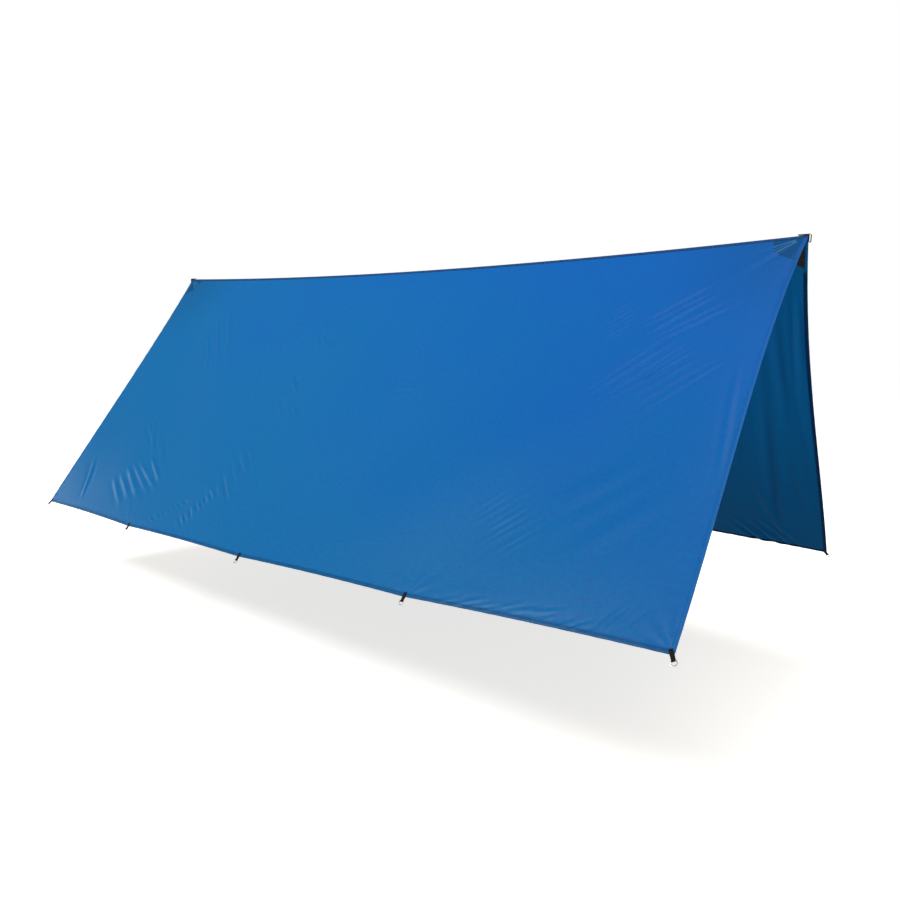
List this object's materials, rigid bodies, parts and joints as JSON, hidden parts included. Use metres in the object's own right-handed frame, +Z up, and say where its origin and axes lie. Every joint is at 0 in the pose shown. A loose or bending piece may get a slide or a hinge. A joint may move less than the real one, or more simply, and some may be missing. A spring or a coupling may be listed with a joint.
{
  "type": "ridge tarp shelter",
  "caption": "Two-panel ridge tarp pitched as an A-frame: hemmed nylon slopes that fold about the ridge seam, with webbing tie-outs and swinging D-rings.",
  "frame": {"origin": "middle of the ridge seam, on the line that both slopes fold about", "axes": "+X along the ridge to the near end, +Y to the back slope, +Z up"},
  "size_m": [3.0226, 1.836, 1.1101],
  "materials": {
    "canopy": "coated nylon, satin",
    "patch": "matt heavy nylon",
    "binding": "woven tape",
    "webbing": "ribbed webbing",
    "ring": "plated wire"
  },
  "bodies": {
    "ridge": {"ridge_binding": "binding", "ridge_loop_near": "webbing", "ridge_loop_far": "webbing"},
    "front_slope": {"front_panel": "canopy", "patch_front_near": "patch", "patch_front_far": "patch", "webbing_front_1": "webbing", "webbing_front_2": "webbing", "webbing_front_3": "webbing", "webbing_front_4": "webbing", "webbing_front_5": "webbing"},
    "ring_front_1": {"d_ring_front_1": "ring"},
    "ring_front_2": {"d_ring_front_2": "ring"},
    "ring_front_3": {"d_ring_front_3": "ring"},
    "ring_front_4": {"d_ring_front_4": "ring"},
    "ring_front_5": {"d_ring_front_5": "ring"},
    "back_slope": {"back_panel": "canopy", "patch_back_near": "patch", "patch_back_far": "patch", "webbing_back_1": "webbing", "webbing_back_2": "webbing", "webbing_back_3": "webbing", "webbing_back_4": "webbing", "webbing_back_5": "webbing"},
    "ring_back_1": {"d_ring_back_1": "ring"},
    "ring_back_2": {"d_ring_back_2": "ring"},
    "ring_back_3": {"d_ring_back_3": "ring"},
    "ring_back_4": {"d_ring_back_4": "ring"},
    "ring_back_5": {"d_ring_back_5": "ring"}
  },
  "joints": [
    {"name": "front_fold", "type": "hinge", "parent": "ridge", "child": "front_slope", "pos_m": [0, 0, 0], "axis": [-1, 0, 0], "range_deg": [-27, 51]},
    {"name": "back_fold", "type": "hinge", "parent": "ridge", "child": "back_slope", "pos_m": [0, 0, 0], "axis": [1, 0, 0], "range_deg": [-27, 51]},
    {"name": "ring_front_1_swing", "type": "hinge", "parent": "front_slope", "child": "ring_front_1", "pos_m": [-1.50149, -0.77501, -1.09472], "axis": [-0.8646, 0.3294, 0.3794], "range_deg": [-120, 120]},
    {"name": "ring_front_2_swing", "type": "hinge", "parent": "front_slope", "child": "ring_front_2", "pos_m": [-0.75, -0.82327, -1.08659], "axis": [-0.9983, 0.0463, -0.035], "range_deg": [-120, 120]},
    {"name": "ring_front_3_swing", "type": "hinge", "parent": "front_slope", "child": "ring_front_3", "pos_m": [0, -0.86217, -1.06469], "axis": [-0.9983, 0.0453, -0.0367], "range_deg": [-120, 120]},
    {"name": "ring_front_4_swing", "type": "hinge", "parent": "front_slope", "child": "ring_front_4", "pos_m": [0.75, -0.89168, -1.0312], "axis": [-0.9983, 0.0439, -0.038], "range_deg": [-120, 120]},
    {"name": "ring_front_5_swing", "type": "hinge", "parent": "front_slope", "child": "ring_front_5", "pos_m": [1.50149, -0.90967, -0.98568], "axis": [-0.8646, -0.3026, -0.4011], "range_deg": [-120, 120]},
    {"name": "ring_back_1_swing", "type": "hinge", "parent": "back_slope", "child": "ring_back_1", "pos_m": [-1.50149, 0.90967, -0.98568], "axis": [0.8646, 0.3026, -0.4011], "range_deg": [-120, 120]},
    {"name": "ring_back_2_swing", "type": "hinge", "parent": "back_slope", "child": "ring_back_2", "pos_m": [-0.75, 0.89168, -1.0312], "axis": [0.9983, -0.0439, -0.038], "range_deg": [-120, 120]},
    {"name": "ring_back_3_swing", "type": "hinge", "parent": "back_slope", "child": "ring_back_3", "pos_m": [0, 0.86217, -1.06469], "axis": [0.9983, -0.0453, -0.0367], "range_deg": [-120, 120]},
    {"name": "ring_back_4_swing", "type": "hinge", "parent": "back_slope", "child": "ring_back_4", "pos_m": [0.75, 0.82327, -1.08659], "axis": [0.9983, -0.0463, -0.035], "range_deg": [-120, 120]},
    {"name": "ring_back_5_swing", "type": "hinge", "parent": "back_slope", "child": "ring_back_5", "pos_m": [1.50149, 0.77501, -1.09472], "axis": [0.8646, -0.3294, 0.3794], "range_deg": [-120, 120]}
  ]
}
